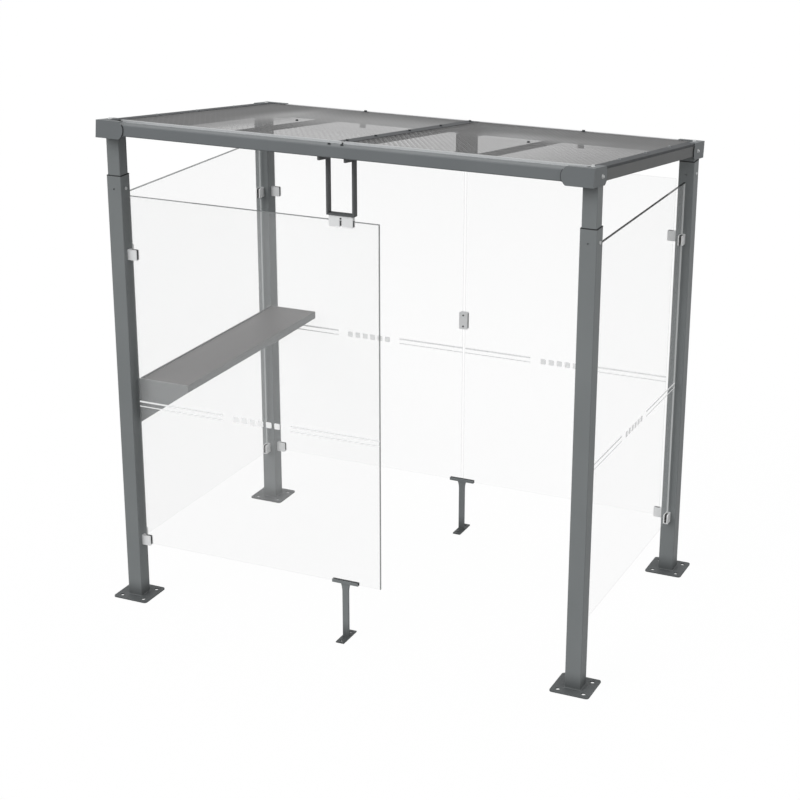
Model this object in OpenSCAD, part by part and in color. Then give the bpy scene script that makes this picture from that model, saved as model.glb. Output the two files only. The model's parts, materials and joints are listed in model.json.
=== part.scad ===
// Glazed smoking shelter: four telescopic steel posts, a sloping roof frame with two fluted
// sheets, five hung glass panes and a folded leaning shelf. Millimetres, +Z up, +X along the
// entrance side, +Y to the back, origin on the ground at the centre of the plan.

/* [Plan] */
// Distance between post centres along the entrance side
post_pitch_x = 2215; // [1900:5:2800]
// Distance between post centres from front to back
post_pitch_y = 1340; // [1200:5:1800]

/* [Posts] */
// Outside width of the square lower tube
post_w = 73; // [60:1:90]
// Wall of the lower tube
post_wall = 4; // [2.5:0.1:5]
// Height of the lower tube's open end above the ground
post_h = 2046; // [2000:1:2060]
// Outside corner radius of the lower tube
post_r = 4; // [3:0.5:10]
// Running gap between lower and upper tube on each side
slide_gap = 0.3; // [0.2:0.05:0.5]
// Wall of the upper tube
upper_wall = 3; // [2:0.1:5]
// Length of upper tube held inside the lower tube at the rear posts
upper_insert = 200; // [120:5:300]
// Diameter of the setting holes through the lower tube
set_hole_d = 9; // [6:0.5:12]
// Drop of the setting holes below the lower tube's open end
set_hole_drop = 58; // [40:1:80]

/* [Base plates] */
// Side of the square base plate
plate_w = 180; // [150:1:220]
// Thickness of the base plate
plate_t = 6; // [5:0.5:15]
// Corner radius of the base plate
plate_r = 14; // [5:0.5:20]
// Distance between anchor holes along both sides
anchor_pitch = 117; // [110:1:140]
// Diameter of the anchor holes
anchor_d = 20; // [12:0.5:22]

/* [Roof frame] */
// Fall of the roof from front to back, in degrees
roof_slope = 6.9; // [5:0.1:7.2]
// Clear height between the rear posts' lower tubes and the roof frame, at their back faces
roof_clear = 19; // [5:1:120]
// How far the roof frame stands out past the posts' front and back faces
roof_overhang = 62; // [40:1:80]
// Height of all roof beams
beam_h = 50; // [40:1:70]
// Depth of the front beam
front_beam_d = 120; // [100:1:150]
// Depth of the rear beam
rear_beam_d = 60; // [50:1:90]
// Corner radius of the roof beams
beam_r = 5; // [2:0.5:8]
// Wall of the roof beams
beam_wall = 3; // [2:0.1:5]
// Height of the centre rafter and the purlins
rafter_h = 20; // [16:1:50]
// Width of the centre rafter
rafter_w = 50; // [40:1:70]
// Width of the two purlins
purlin_w = 30; // [25:1:60]
// Distance of each purlin from the centre line
purlin_x = 570; // [400:5:650]
// Width of the plates that bolt the rafter to the beams
rafter_plate_w = 112; // [80:1:140]
// How far the purlins' rear end plates reach below the beams
purlin_plate_drop = 18; // [10:1:30]
// Thickness of those plates
end_plate_t = 5; // [3:0.5:8]

/* [Roof covering] */
// Thickness of the fluted roof sheets
panel_t = 8; // [6:0.5:16]
// Gap between the two sheets on the centre line
panel_seam = 8; // [4:0.5:20]
// Front beam's top that is left bare in front of the sheets
panel_setback = 108; // [60:1:110]
// Thickness of the edge trims and the clamping bar
trim_t = 2; // [1.5:0.5:5]
// Width of the side edge trims
trim_w = 50; // [30:1:60]
// Width of the clamping bar on the centre line
clamp_bar_w = 60; // [40:1:80]
// Sheet thickness of the closing angles on the sheets' front and back edges
closing_t = 1.5; // [1:0.1:3]
// Width of the closing angles on top of the sheets
closing_w = 22; // [15:1:40]
// Gap around the sheets inside their trims
panel_gap = 0.5; // [0.3:0.1:1]

/* [Corner caps] */
// Sheet thickness of the corner caps
cap_t = 3; // [2:0.5:5]
// Gap between a corner cap's flanges and the beams' faces
cap_stand = 1.5; // [1:0.5:6]
// Straight length of the cap along the front or back beam
cap_front_len = 116; // [90:1:150]
// Straight length of the cap along the side beam
cap_side_len = 142; // [100:1:180]
// How far the rounded ends of the flanges bulge out
cap_bulge = 21; // [10:1:30]
// How far the flanges reach below the beams
cap_drop = 14; // [8:1:25]
// Width of the cap's top return
cap_lip = 34; // [20:1:50]

/* [Glass] */
// Thickness of the glass
glass_t = 8; // [6:1:12]
// Height of the panes' lower edge
pane_bottom = 275; // [200:1:350]
// Drop of the panes' upper edge below the lower tubes' open ends
pane_drop = 89; // [85:1:200]
// Gap between a post and the edge of a pane
pane_gap = 20; // [15:1:30]
// How far the front pane passes the centre line
front_pane_past = 176; // [100:1:400]
// Gap between the two back panes
pane_seam = 12; // [8:0.5:15]

/* [Glass clamps] */
// Reach of a clamp from its post
clamp_l = 46; // [38:1:60]
// Height of a clamp
clamp_h = 48; // [35:1:60]
// Thickness of a clamp across the glass
clamp_d = 22; // [20:1:36]
// Corner radius of the clamps and the seam plates
clamp_r = 5; // [2:0.5:10]
// Thickness of the rubber between clamp and glass
rubber_t = 1.5; // [1:0.1:2.5]
// Drop of the upper clamps' middle below the panes' upper edge
clamp_upper_drop = 271; // [150:1:400]
// Metal left under a pane's lower corner in the lower clamps
clamp_floor = 9; // [5:0.5:15]
// Width of the clamps that hold the panes from above
top_clamp_w = 112; // [100:1:140]
// Height of those clamps
top_clamp_h = 48; // [40:1:60]
// Thickness of their web over the glass
top_clamp_web = 20; // [12:0.5:24]
// Gap between the two pads of such a clamp
top_clamp_split = 12; // [3:0.5:20]
// Width of the plates that join the back panes
seam_clamp_w = 44; // [40:1:70]
// Height of those plates
seam_clamp_h = 87; // [80:1:120]
// Thickness of those plates
seam_clamp_t = 5; // [3:0.5:8]
// Height of their middle
seam_clamp_z = 1135; // [900:1:1300]
// Distance between their two screws
seam_screw_pitch = 57; // [40:1:70]
// Diameter of the screw sleeves in the seam
seam_sleeve_d = 8; // [5:0.1:9]

/* [Hangers] */
// Overall width of the front hanger
hanger_w = 131; // [120:1:200]
// Thickness of the front hanger's bars
hanger_t = 9; // [5:0.5:12]
// Depth of the front hanger's bars
hanger_d = 31; // [25:1:40]
// Height of the arms that reach under the front beam
hanger_arm_h = 16; // [10:1:25]
// Distance of the arms' tips from the front beam's face
hanger_arm_inset = 8; // [2:1:20]
// Width of the rear hanger plate
rear_hanger_w = 112; // [80:1:140]
// Thickness of the rear hanger plate
rear_hanger_t = 5; // [3:0.5:8]

/* [Feet] */
// Width of a foot's stem
stem_w = 29; // [25:1:50]
// Thickness of a foot's stem
stem_t = 12; // [8:0.5:15]
// Height over which the stem widens below the channel
flare_h = 40; // [20:1:60]
// How far the stem widens on each side
flare_w = 7; // [3:0.5:15]
// Length of the channel under the glass
channel_l = 130; // [110:1:180]
// Wall of the channel
channel_wall = 3; // [3:0.5:6]
// Height of the channel's lips above the glass edge
channel_lip = 10; // [5:0.5:15]
// Width of the foot's plate
foot_w = 40; // [30:1:60]
// Length of the foot's plate from front to back
foot_l = 133; // [110:1:160]
// Thickness of the foot's plate
foot_t = 6; // [4:0.5:10]
// Distance between the foot's two holes
foot_pitch = 95; // [80:1:105]
// Diameter of the foot's holes
foot_hole_d = 14; // [8:0.5:16]

/* [Shelf] */
// Height of the shelf's top face
shelf_z = 1084; // [900:1:1200]
// Depth of the shelf
shelf_d = 249; // [200:1:350]
// Sheet thickness of the shelf
shelf_t = 3; // [2:0.5:5]
// Height of the folded front lip
shelf_lip = 34; // [25:1:60]
// Height of the upstand along the shelf's back edge
shelf_upstand = 6; // [4:1:40]
// Height of the triangular end plates at the posts
shelf_gusset_h = 230; // [150:1:280]
// Gap between the shelf's back edge and the glass
shelf_glass_gap = 40; // [33:1:60]
// How far the end plates reach behind the shelf's back edge, onto the posts
shelf_ear = 32; // [20:1:32]

/* [Hidden] */
$fn = 48;
// Overrun of every cut past the face it opens
overrun = 1;
// Inner corner radius of a tube as a share of its outer radius
inner_r_share = 0.45;
half_x = post_pitch_x / 2;
half_y = post_pitch_y / 2;
post_half = post_w / 2;
post_inner_w = post_w - 2 * post_wall;
upper_w = post_inner_w - 2 * slide_gap;
upper_r = post_r * upper_w / post_w;
side_beam_w = upper_w;
roof_x = half_x + side_beam_w / 2;
roof_y = half_y + post_half + roof_overhang;
roof_len = 2 * roof_y / cos(roof_slope);
roof_front_h = post_h + roof_clear + (roof_y + half_y + post_half) * tan(roof_slope);
bay_x = roof_x - side_beam_w;
panel_top = beam_h + panel_t;
trim_top = panel_top + trim_t;
panel_v0 = panel_setback + closing_t + panel_gap;
panel_v1 = roof_len - closing_t - panel_gap;
panel_x1 = roof_x - trim_t - panel_gap;
cap_h = trim_top + cap_t + cap_drop;
pane_y1 = half_y - post_half - pane_gap;
pane_x1 = half_x - post_half - pane_gap;
pane_top = post_h - pane_drop;
pane_h = pane_top - pane_bottom;
clamp_upper_z = pane_top - clamp_upper_drop;
slot_w = glass_t + 2 * rubber_t;
clamp_lower_z = pane_bottom - clamp_floor + clamp_h / 2;
top_clamp_top = pane_top + rubber_t + top_clamp_web;
channel_d = slot_w + 2 * channel_wall;
channel_z0 = pane_bottom - rubber_t - channel_wall;
shelf_x0 = -half_x + glass_t / 2 + shelf_glass_gap;
shelf_x1 = shelf_x0 + shelf_d;
shelf_y1 = half_y - post_half;

steel = "#6c7175";
steel_dark = "#4f5254";
steel_pale = "#8a8b8c";
clamp_grey = "#d5d7d7";
rubber_black = "#2b2c2d";
glass_tint = [0.85, 0.9, 0.9, 0.25];
sheet_tint = [0.5, 0.5, 0.5, 0.6];
closing_grey = "#b0b1b2";

// Height of the beams' underside at depth y
function roof_under(y) = roof_front_h - (y + roof_y) * tan(roof_slope);

// Flat outline of a rectangle with round corners, about its centre
module rounded_rect(w, d, r) {
    square([w - 2 * r, d], center = true);
    square([w, d - 2 * r], center = true);
    for (sx = [-1, 1], sy = [-1, 1])
        translate([sx * (w / 2 - r), sy * (d / 2 - r)]) circle(r);
}

// Flat section of a rectangular tube about its centre
module tube_section(w, d, wall, r) {
    difference() {
        rounded_rect(w, d, r);
        rounded_rect(w - 2 * wall, d - 2 * wall, r * inner_r_share);
    }
}

// Roof frame of reference: x along the front, y down the slope from the front face, z up from the
// beams' underside
module on_roof() {
    translate([0, -roof_y, roof_front_h]) rotate([-roof_slope, 0, 0]) children();
}

// All that lies above the beams' underside, for cutting what stands under the roof
module above_roof() {
    on_roof() translate([-2 * roof_x, -roof_len, 0]) cube([4 * roof_x, 3 * roof_len, post_h]);
}

// Extrudes a section drawn in x and z along y
module along_y(length) {
    rotate([-90, 0, 0]) linear_extrude(length) mirror([0, 1]) children();
}

// Extrudes a section drawn in y and z along x, about the middle
module along_x(length) {
    translate([-length / 2, 0, 0]) rotate([90, 0, 90]) linear_extrude(length) children();
}

module at_post(sx, sy) {
    translate([sx * half_x, sy * half_y, 0]) children();
}

// Lower tube of a post, cross-drilled near its open end
module post(sx, sy) {
    color(steel) at_post(sx, sy) difference() {
        translate([0, 0, plate_t]) linear_extrude(post_h - plate_t)
            tube_section(post_w, post_w, post_wall, post_r);
        translate([0, 0, post_h - set_hole_drop]) rotate([90, 0, 0])
            cylinder(d = set_hole_d, h = post_w + 2 * overrun, center = true);
    }
}

// Upper tube that slides in the lower one and ends in a slanted cut under the side beam
module upper_post(sx, sy) {
    color(steel) difference() {
        at_post(sx, sy) translate([0, 0, post_h - upper_insert])
            linear_extrude(roof_front_h - post_h + upper_insert)
                tube_section(upper_w, upper_w, upper_wall, upper_r);
        above_roof();
    }
}

module base_plate() {
    linear_extrude(plate_t) difference() {
        rounded_rect(plate_w, plate_w, plate_r);
        for (sx = [-1, 1], sy = [-1, 1])
            translate([sx, sy] * anchor_pitch / 2) circle(d = anchor_d);
    }
}

module base_plates() {
    color(steel_dark) for (sx = [-1, 1], sy = [-1, 1]) at_post(sx, sy) base_plate();
}

// Front or rear beam, between the side beams
module cross_beam(v, depth) {
    color(steel) on_roof() translate([0, v + depth / 2, beam_h / 2]) along_x(2 * bay_x)
        tube_section(depth, beam_h, beam_wall, beam_r);
}

// Side beam, over the whole depth of the roof
module side_beam(sx) {
    color(steel) on_roof() translate([sx * (roof_x - side_beam_w / 2), 0, beam_h / 2]) along_y(roof_len)
        tube_section(side_beam_w, beam_h, beam_wall, beam_r);
}

// Tube between the front and rear beams, with a welded plate at each end; the rear plate may
// reach below the beams
module rafter(x, w, plate_w, plate_drop) {
    inner_len = roof_len - front_beam_d - rear_beam_d;
    color(steel) on_roof() translate([x, front_beam_d, 0]) {
        translate([0, end_plate_t, beam_h - rafter_h / 2]) along_y(inner_len - 2 * end_plate_t)
            tube_section(w, rafter_h, beam_wall, beam_r);
        translate([-plate_w / 2, 0, 0]) cube([plate_w, end_plate_t, beam_h]);
        translate([-plate_w / 2, inner_len - end_plate_t, -plate_drop])
            cube([plate_w, end_plate_t, beam_h + plate_drop]);
    }
}

// Fluted sheet on one half of the roof
module roof_sheet(sx) {
    color(sheet_tint) on_roof() mirror([sx < 0 ? 1 : 0, 0, 0])
        translate([panel_seam / 2, panel_v0, beam_h])
            cube([panel_x1 - panel_seam / 2, panel_v1 - panel_v0, panel_t]);
}

module clamping_bar() {
    color(steel_dark) on_roof() translate([0, panel_setback + closing_w, panel_top + trim_t / 2])
        along_y(roof_len - panel_setback - 2 * closing_w) square([clamp_bar_w, trim_t], center = true);
}

// Angle that covers the outer edge of a sheet
module edge_trim(sx) {
    color(steel) on_roof() mirror([sx < 0 ? 1 : 0, 0, 0])
        along_y(roof_len) {
            translate([roof_x - trim_w, panel_top]) square([trim_w, trim_t]);
            translate([roof_x - trim_t, beam_h]) square([trim_t, panel_t + trim_t]);
        }
}

// Thin angle over the front or back edge of each sheet, drawn for the front edge
module closing_angle_pair() {
    x0 = panel_seam / 2;
    x1 = roof_x - trim_w - panel_gap;
    for (sx = [-1, 1])
        translate([sx * (x0 + x1) / 2, panel_setback, beam_h])
            along_x(x1 - x0) {
                square([closing_t, panel_t + closing_t]);
                translate([0, panel_t]) square([closing_w, closing_t]);
            }
}

module front_closing_angles() {
    color(closing_grey) on_roof() closing_angle_pair();
}

module rear_closing_angles() {
    color(closing_grey) on_roof() translate([0, roof_len + panel_setback, 0]) mirror([0, 1, 0])
        closing_angle_pair();
}

// Outline of a cap's flange: a rectangle whose far end bulges out in an arc
module cap_flange(length) {
    bulge_r = (cap_h * cap_h / 4 + cap_bulge * cap_bulge) / (2 * cap_bulge);
    square([length, cap_h]);
    intersection() {
        translate([length + cap_bulge - bulge_r, cap_h / 2]) circle(bulge_r);
        square([length + 2 * cap_bulge, cap_h]);
    }
}

// Folded cap of the front left corner: two flanges and a top return round the corner
module corner_cap_shape() {
    outer = cap_stand + cap_t;
    translate([-outer, -outer, -cap_drop]) {
        translate([0, cap_t, 0]) rotate([90, 0, 0]) linear_extrude(cap_t) cap_flange(cap_front_len);
        rotate([90, 0, 90]) linear_extrude(cap_t) cap_flange(cap_side_len);
        translate([0, 0, cap_h - cap_t]) linear_extrude(cap_t) {
            square([cap_front_len, cap_lip]);
            square([cap_lip, cap_side_len]);
        }
    }
}

module corner_cap(sx, sy) {
    color(steel) on_roof() translate([0, roof_len / 2, 0])
        mirror([sx > 0 ? 1 : 0, 0, 0]) mirror([0, sy > 0 ? 1 : 0, 0])
            translate([-roof_x, -roof_len / 2, 0]) corner_cap_shape();
}

// Pane standing across x, from x0 to x1 at depth y
module cross_pane(x0, x1, y) {
    color(glass_tint) translate([x0, y - glass_t / 2, pane_bottom]) cube([x1 - x0, glass_t, pane_h]);
}

// Pane on the left or right side
module side_pane(sx) {
    color(glass_tint) translate([sx * half_x - glass_t / 2, -pane_y1, pane_bottom])
        cube([glass_t, 2 * pane_y1, pane_h]);
}

// Places a clamp drawn along +x from the post's face at one post, turned to face the pane
module on_post_face(sx, sy, turn) {
    at_post(sx, sy) rotate([0, 0, turn]) translate([post_half, 0, 0]) children();
}

// Slot of a clamp at height z, with the floor of a lower clamp where there is one
module clamp_slot(z, floor_h, extra) {
    translate([pane_gap - rubber_t, -slot_w / 2, z - clamp_h / 2 + floor_h])
        cube([clamp_l - pane_gap + rubber_t + extra, slot_w, clamp_h - floor_h + extra]);
}

module clamp_block(z, floor_h) {
    difference() {
        translate([0, clamp_d / 2, z]) rotate([90, 0, 0]) linear_extrude(clamp_d) {
            translate([0, -clamp_h / 2]) square([clamp_l / 2, clamp_h]);
            translate([clamp_l / 2, 0]) rounded_rect(clamp_l, clamp_h, clamp_r);
        }
        clamp_slot(z, floor_h, overrun);
        if (floor_h == 0) translate([0, 0, -overrun]) clamp_slot(z, floor_h, overrun);
    }
}

module clamp_pair(sx, sy, turn) {
    color(clamp_grey) on_post_face(sx, sy, turn) {
        clamp_block(clamp_upper_z, 0);
        clamp_block(clamp_lower_z, clamp_floor - rubber_t);
    }
}

// Rubber that fills a clamp's slot round the pane's edge
module clamp_rubber(z, floor_h) {
    color(rubber_black) difference() {
        clamp_slot(z, floor_h, 0);
        translate([pane_gap, -glass_t / 2, pane_bottom]) cube([clamp_l, glass_t, pane_h]);
    }
}

module rubber_pair(sx, sy, turn) {
    on_post_face(sx, sy, turn) {
        clamp_rubber(clamp_upper_z, 0);
        clamp_rubber(clamp_lower_z, clamp_floor - rubber_t);
    }
}

module front_clamps() { clamp_pair(-1, -1, 0); }
module left_clamps() { clamp_pair(-1, -1, 90); clamp_pair(-1, 1, -90); }
module right_clamps() { clamp_pair(1, -1, 90); clamp_pair(1, 1, -90); }
module back_clamps() { clamp_pair(-1, 1, 0); clamp_pair(1, 1, 180); }

// Saddle over the top edge of the glass, with two pads on each side
module top_clamp(y) {
    z0 = top_clamp_top - top_clamp_h;
    color(clamp_grey) translate([0, y, 0]) difference() {
        translate([-top_clamp_w / 2, -clamp_d / 2, z0]) cube([top_clamp_w, clamp_d, top_clamp_h]);
        translate([-top_clamp_w / 2 - overrun, -slot_w / 2, z0 - overrun])
            cube([top_clamp_w + 2 * overrun, slot_w, top_clamp_h - top_clamp_web + overrun]);
        translate([-top_clamp_split / 2, -clamp_d / 2 - overrun, z0 - overrun])
            cube([top_clamp_split, clamp_d + 2 * overrun, top_clamp_h - top_clamp_web + overrun]);
    }
}

// Rubber under one half of a saddle, from x0 to x1
module top_rubber(x0, x1, y) {
    z0 = top_clamp_top - top_clamp_h;
    color(rubber_black) translate([0, y, 0]) difference() {
        translate([x0, -slot_w / 2, z0]) cube([x1 - x0, slot_w, top_clamp_h - top_clamp_web]);
        translate([x0 - overrun, -glass_t / 2, pane_bottom]) cube([x1 - x0 + 2 * overrun, glass_t, pane_h]);
    }
}

module top_rubbers(y) {
    for (sx = [0, 1]) mirror([sx, 0, 0]) top_rubber(top_clamp_split / 2, top_clamp_w / 2, y);
}

// Two plates on both sides of the back panes, held by two sleeves in the gap between the panes
module seam_clamp() {
    plate_y = slot_w / 2;
    color(clamp_grey) translate([0, half_y, seam_clamp_z]) rotate([90, 0, 0]) {
        for (side = [0, 1]) mirror([0, 0, side]) translate([0, 0, plate_y]) linear_extrude(seam_clamp_t)
            rounded_rect(seam_clamp_w, seam_clamp_h, clamp_r);
        for (sz = [-1, 1]) translate([0, sz * seam_screw_pitch / 2, 0])
            cylinder(d = seam_sleeve_d, h = slot_w + seam_clamp_t, center = true);
    }
}

// Rubber pads between the seam plates and the glass, one for each pane and side
module seam_rubbers() {
    pad_w = (seam_clamp_w - pane_seam) / 2;
    color(rubber_black) for (sx = [-1, 1], sy = [-1, 1])
        translate([sx * (pane_seam + pad_w) / 2, half_y + sy * (glass_t + rubber_t) / 2, seam_clamp_z])
            cube([pad_w, rubber_t, seam_clamp_h - 2 * clamp_r], center = true);
}

// Rubber strip in a foot's channel, under the glass
module channel_rubber(y) {
    color(rubber_black) translate([0, y, 0]) difference() {
        translate([-channel_l / 2, -slot_w / 2, pane_bottom - rubber_t])
            cube([channel_l, slot_w, channel_lip + rubber_t]);
        translate([-channel_l, -glass_t / 2, pane_bottom]) cube([2 * channel_l, glass_t, pane_h]);
    }
}

module clamp_rubbers() {
    rubber_pair(-1, -1, 0);
    for (sx = [-1, 1]) {
        rubber_pair(sx, -1, 90);
        rubber_pair(sx, 1, -90);
    }
    rubber_pair(-1, 1, 0);
    rubber_pair(1, 1, 180);
    for (sy = [-1, 1]) {
        top_rubbers(sy * half_y);
        channel_rubber(sy * half_y);
    }
    seam_rubbers();
}

// Two upright bars with arms under the front beam, joined by a bar above the glass
module front_hanger() {
    bar_y0 = -half_y - hanger_d / 2;
    bar_y1 = -half_y + hanger_d / 2;
    tip_y = -roof_y + hanger_arm_inset;
    color(steel_dark) {
        for (sx = [-1, 1]) translate([sx * (hanger_w - hanger_t) / 2, 0, 0]) along_x(hanger_t) polygon([
            [bar_y0, top_clamp_top], [bar_y1, top_clamp_top], [bar_y1, roof_under(bar_y1)],
            [tip_y, roof_under(tip_y)], [tip_y, roof_under(tip_y) - hanger_arm_h],
            [bar_y0, roof_under(bar_y0) - hanger_arm_h]
        ]);
        translate([-hanger_w / 2 + hanger_t / 2, bar_y0, top_clamp_top])
            cube([hanger_w - hanger_t, hanger_d, hanger_t]);
    }
}

// Folded plate that hangs from the rear beam and holds the back panes at their joint
module rear_hanger() {
    front_y = half_y - clamp_d / 2;
    back_y = half_y + clamp_d / 2;
    web_y = back_y - rear_hanger_t;
    tip_y = roof_y - hanger_arm_inset;
    z0 = top_clamp_top;
    color(steel_dark) along_x(rear_hanger_w) polygon([
        [front_y, z0], [back_y, z0], [back_y, roof_under(back_y) - rear_hanger_t],
        [tip_y, roof_under(tip_y) - rear_hanger_t], [tip_y, roof_under(tip_y)],
        [web_y, roof_under(web_y)], [web_y, z0 + rear_hanger_t], [front_y, z0 + rear_hanger_t]
    ]);
}

// Stem with a flared head, a channel for the glass and a plate on the ground
module foot(y) {
    head_w = stem_w + 2 * flare_w;
    flare_r = (flare_h * flare_h + flare_w * flare_w) / (2 * flare_w);
    color(steel) translate([0, y, 0]) {
        difference() {
            translate([-foot_w / 2, -foot_l / 2, 0]) cube([foot_w, foot_l, foot_t]);
            for (sy = [-1, 1]) translate([0, sy * foot_pitch / 2, -overrun])
                cylinder(d = foot_hole_d, h = foot_t + 2 * overrun);
        }
        translate([0, stem_t / 2, 0]) rotate([90, 0, 0]) linear_extrude(stem_t) difference() {
            union() {
                translate([-stem_w / 2, foot_t]) square([stem_w, channel_z0 - foot_t]);
                translate([-head_w / 2, channel_z0 - flare_h]) square([head_w, flare_h]);
            }
            for (sx = [-1, 1]) translate([sx * (stem_w / 2 + flare_r), channel_z0 - flare_h]) circle(flare_r);
        }
        translate([0, 0, channel_z0]) along_x(channel_l) difference() {
            translate([-channel_d / 2, 0]) square([channel_d, channel_wall + rubber_t + channel_lip]);
            translate([-slot_w / 2, channel_wall]) square([slot_w, rubber_t + channel_lip + overrun]);
        }
    }
}

// Folded sheet between the left posts: top, front lip, back upstand and an end plate at each post
module shelf() {
    ear_x = shelf_x0 - shelf_ear;
    color(steel_pale) {
        translate([shelf_x0, -shelf_y1, shelf_z - shelf_t]) cube([shelf_d, 2 * shelf_y1, shelf_t]);
        translate([shelf_x1 - shelf_t, -shelf_y1, shelf_z - shelf_lip])
            cube([shelf_t, 2 * shelf_y1, shelf_lip]);
        translate([shelf_x0, -shelf_y1, shelf_z - shelf_t])
            cube([shelf_t, 2 * shelf_y1, shelf_t + shelf_upstand]);
        for (y = [-shelf_y1 + shelf_t, shelf_y1]) translate([0, y, 0]) rotate([90, 0, 0])
            linear_extrude(shelf_t) polygon([
                [ear_x, shelf_z], [shelf_x1, shelf_z],
                [shelf_x1, shelf_z - shelf_lip], [ear_x, shelf_z - shelf_gusset_h]
            ]);
    }
}

post(-1, -1);  // front_left_post
post(1, -1);  // front_right_post
post(-1, 1);  // rear_left_post
post(1, 1);  // rear_right_post
base_plates();
upper_post(-1, -1);  // front_left_upper_post
upper_post(1, -1);  // front_right_upper_post
upper_post(-1, 1);  // rear_left_upper_post
upper_post(1, 1);  // rear_right_upper_post
cross_beam(0, front_beam_d);  // front_beam
cross_beam(roof_len - rear_beam_d, rear_beam_d);  // rear_beam
side_beam(-1);  // left_beam
side_beam(1);  // right_beam
rafter(0, rafter_w, rafter_plate_w, 0);  // centre_rafter
rafter(-purlin_x, purlin_w, purlin_w, purlin_plate_drop);  // left_purlin
rafter(purlin_x, purlin_w, purlin_w, purlin_plate_drop);  // right_purlin
corner_cap(-1, -1);  // front_left_cap
corner_cap(1, -1);  // front_right_cap
corner_cap(-1, 1);  // rear_left_cap
corner_cap(1, 1);  // rear_right_cap
roof_sheet(-1);  // left_roof_sheet
roof_sheet(1);  // right_roof_sheet
clamping_bar();
edge_trim(-1);  // left_edge_trim
edge_trim(1);  // right_edge_trim
front_closing_angles();
rear_closing_angles();
cross_pane(-pane_x1, front_pane_past, -half_y);  // front_glass
side_pane(-1);  // left_glass
side_pane(1);  // right_glass
cross_pane(-pane_x1, -pane_seam / 2, half_y);  // back_left_glass
cross_pane(pane_seam / 2, pane_x1, half_y);  // back_right_glass
front_clamps();
left_clamps();
right_clamps();
back_clamps();
top_clamp(-half_y);  // front_top_clamp
top_clamp(half_y);  // rear_top_clamp
seam_clamp();
clamp_rubbers();
front_hanger();
rear_hanger();
foot(-half_y);  // front_foot
foot(half_y);  // rear_foot
shelf();
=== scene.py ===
import json
import math

import bpy
from mathutils import Matrix, Vector


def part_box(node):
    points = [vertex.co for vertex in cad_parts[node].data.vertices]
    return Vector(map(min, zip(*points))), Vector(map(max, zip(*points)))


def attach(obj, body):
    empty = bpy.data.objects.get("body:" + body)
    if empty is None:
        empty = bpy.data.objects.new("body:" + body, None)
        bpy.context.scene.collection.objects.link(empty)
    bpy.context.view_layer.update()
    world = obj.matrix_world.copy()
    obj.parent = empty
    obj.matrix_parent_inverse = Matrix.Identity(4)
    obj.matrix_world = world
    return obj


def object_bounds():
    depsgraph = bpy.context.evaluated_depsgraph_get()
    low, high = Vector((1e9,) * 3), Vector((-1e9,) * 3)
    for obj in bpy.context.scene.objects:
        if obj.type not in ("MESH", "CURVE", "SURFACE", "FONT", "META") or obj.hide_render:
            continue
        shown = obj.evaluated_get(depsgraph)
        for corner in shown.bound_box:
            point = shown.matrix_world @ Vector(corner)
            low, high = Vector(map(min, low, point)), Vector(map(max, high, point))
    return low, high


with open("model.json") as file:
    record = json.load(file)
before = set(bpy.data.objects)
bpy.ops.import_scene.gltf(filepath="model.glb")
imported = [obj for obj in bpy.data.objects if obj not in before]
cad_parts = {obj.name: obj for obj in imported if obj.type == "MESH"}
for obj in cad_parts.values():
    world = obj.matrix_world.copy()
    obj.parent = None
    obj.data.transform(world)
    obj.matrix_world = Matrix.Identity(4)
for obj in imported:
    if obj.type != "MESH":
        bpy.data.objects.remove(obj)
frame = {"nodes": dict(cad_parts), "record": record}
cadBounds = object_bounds()
mm = 0.001
white = (1, 1, 1, 1)
print("frame loaded:", len(frame["nodes"]), "nodes")


# colours and shader nodes, where a source is a pair of a node and its output's name or number

def linearColor(hexText):
    channels = [int(hexText[i:i + 2], 16) / 255 for i in (1, 3, 5)]
    return tuple(c / 12.92 if c <= 0.04045 else ((c + 0.055) / 1.055) ** 2.4 for c in channels) + (1.0,)


def perMetre(sizeMm):
    return 1 / (sizeMm * mm)  # texture scale for a feature of this size


def newMaterial(name):
    material = bpy.data.materials.new(name)
    material.use_nodes = True
    tree = material.node_tree
    tree.nodes.clear()
    return material, tree


def addNode(tree, kind, settings=None, links=None):
    node = tree.nodes.new(kind)
    for key, value in (settings or {}).items():
        if isinstance(key, str) and hasattr(node, key):
            setattr(node, key, value)
        else:
            node.inputs[key].default_value = value
    for key, (source, socket) in (links or {}).items():
        tree.links.new(source.outputs[socket], node.inputs[key])
    return node


def addMath(tree, operation, *terms):
    settings, links = {"operation": operation}, {}
    for index, term in enumerate(terms):
        (links if isinstance(term, tuple) else settings)[index] = term
    return addNode(tree, "ShaderNodeMath", settings, links), "Value"


def addRamp(tree, source, start=0.0, end=1.0, low=0.0, high=1.0, curve="LINEAR"):
    settings = {"interpolation_type": curve, "From Min": start, "From Max": end,
                "To Min": low, "To Max": high}
    return addNode(tree, "ShaderNodeMapRange", settings, {"Value": source}), "Result"


def addBlend(tree, share, first, second):
    settings, links = {"data_type": "RGBA"}, {0: share}
    for index, color in ((6, first), (7, second)):  # the node's two colour sockets
        if isinstance(color, str):
            settings[index] = linearColor(color)
        else:
            links[index] = color
    return addNode(tree, "ShaderNodeMix", settings, links), 2


def addNoise(tree, place, sizeMm, detail):
    settings = {"Scale": perMetre(sizeMm), "Detail": detail}
    return addNode(tree, "ShaderNodeTexNoise", settings, {"Vector": place}), "Fac"


def addBump(tree, height, strength, depth):
    settings = {"Strength": strength, "Distance": depth}
    return addNode(tree, "ShaderNodeBump", settings, {"Height": height}), "Normal"


def objectPlace(tree):
    return addNode(tree, "ShaderNodeTexCoord"), "Object"


def faceNormal(tree):
    return addNode(tree, "ShaderNodeNewGeometry"), "True Normal"


def splitAxes(tree, source):
    node = addNode(tree, "ShaderNodeSeparateXYZ", {}, {"Vector": source})
    return {axis: (node, axis) for axis in "XYZ"}


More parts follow.
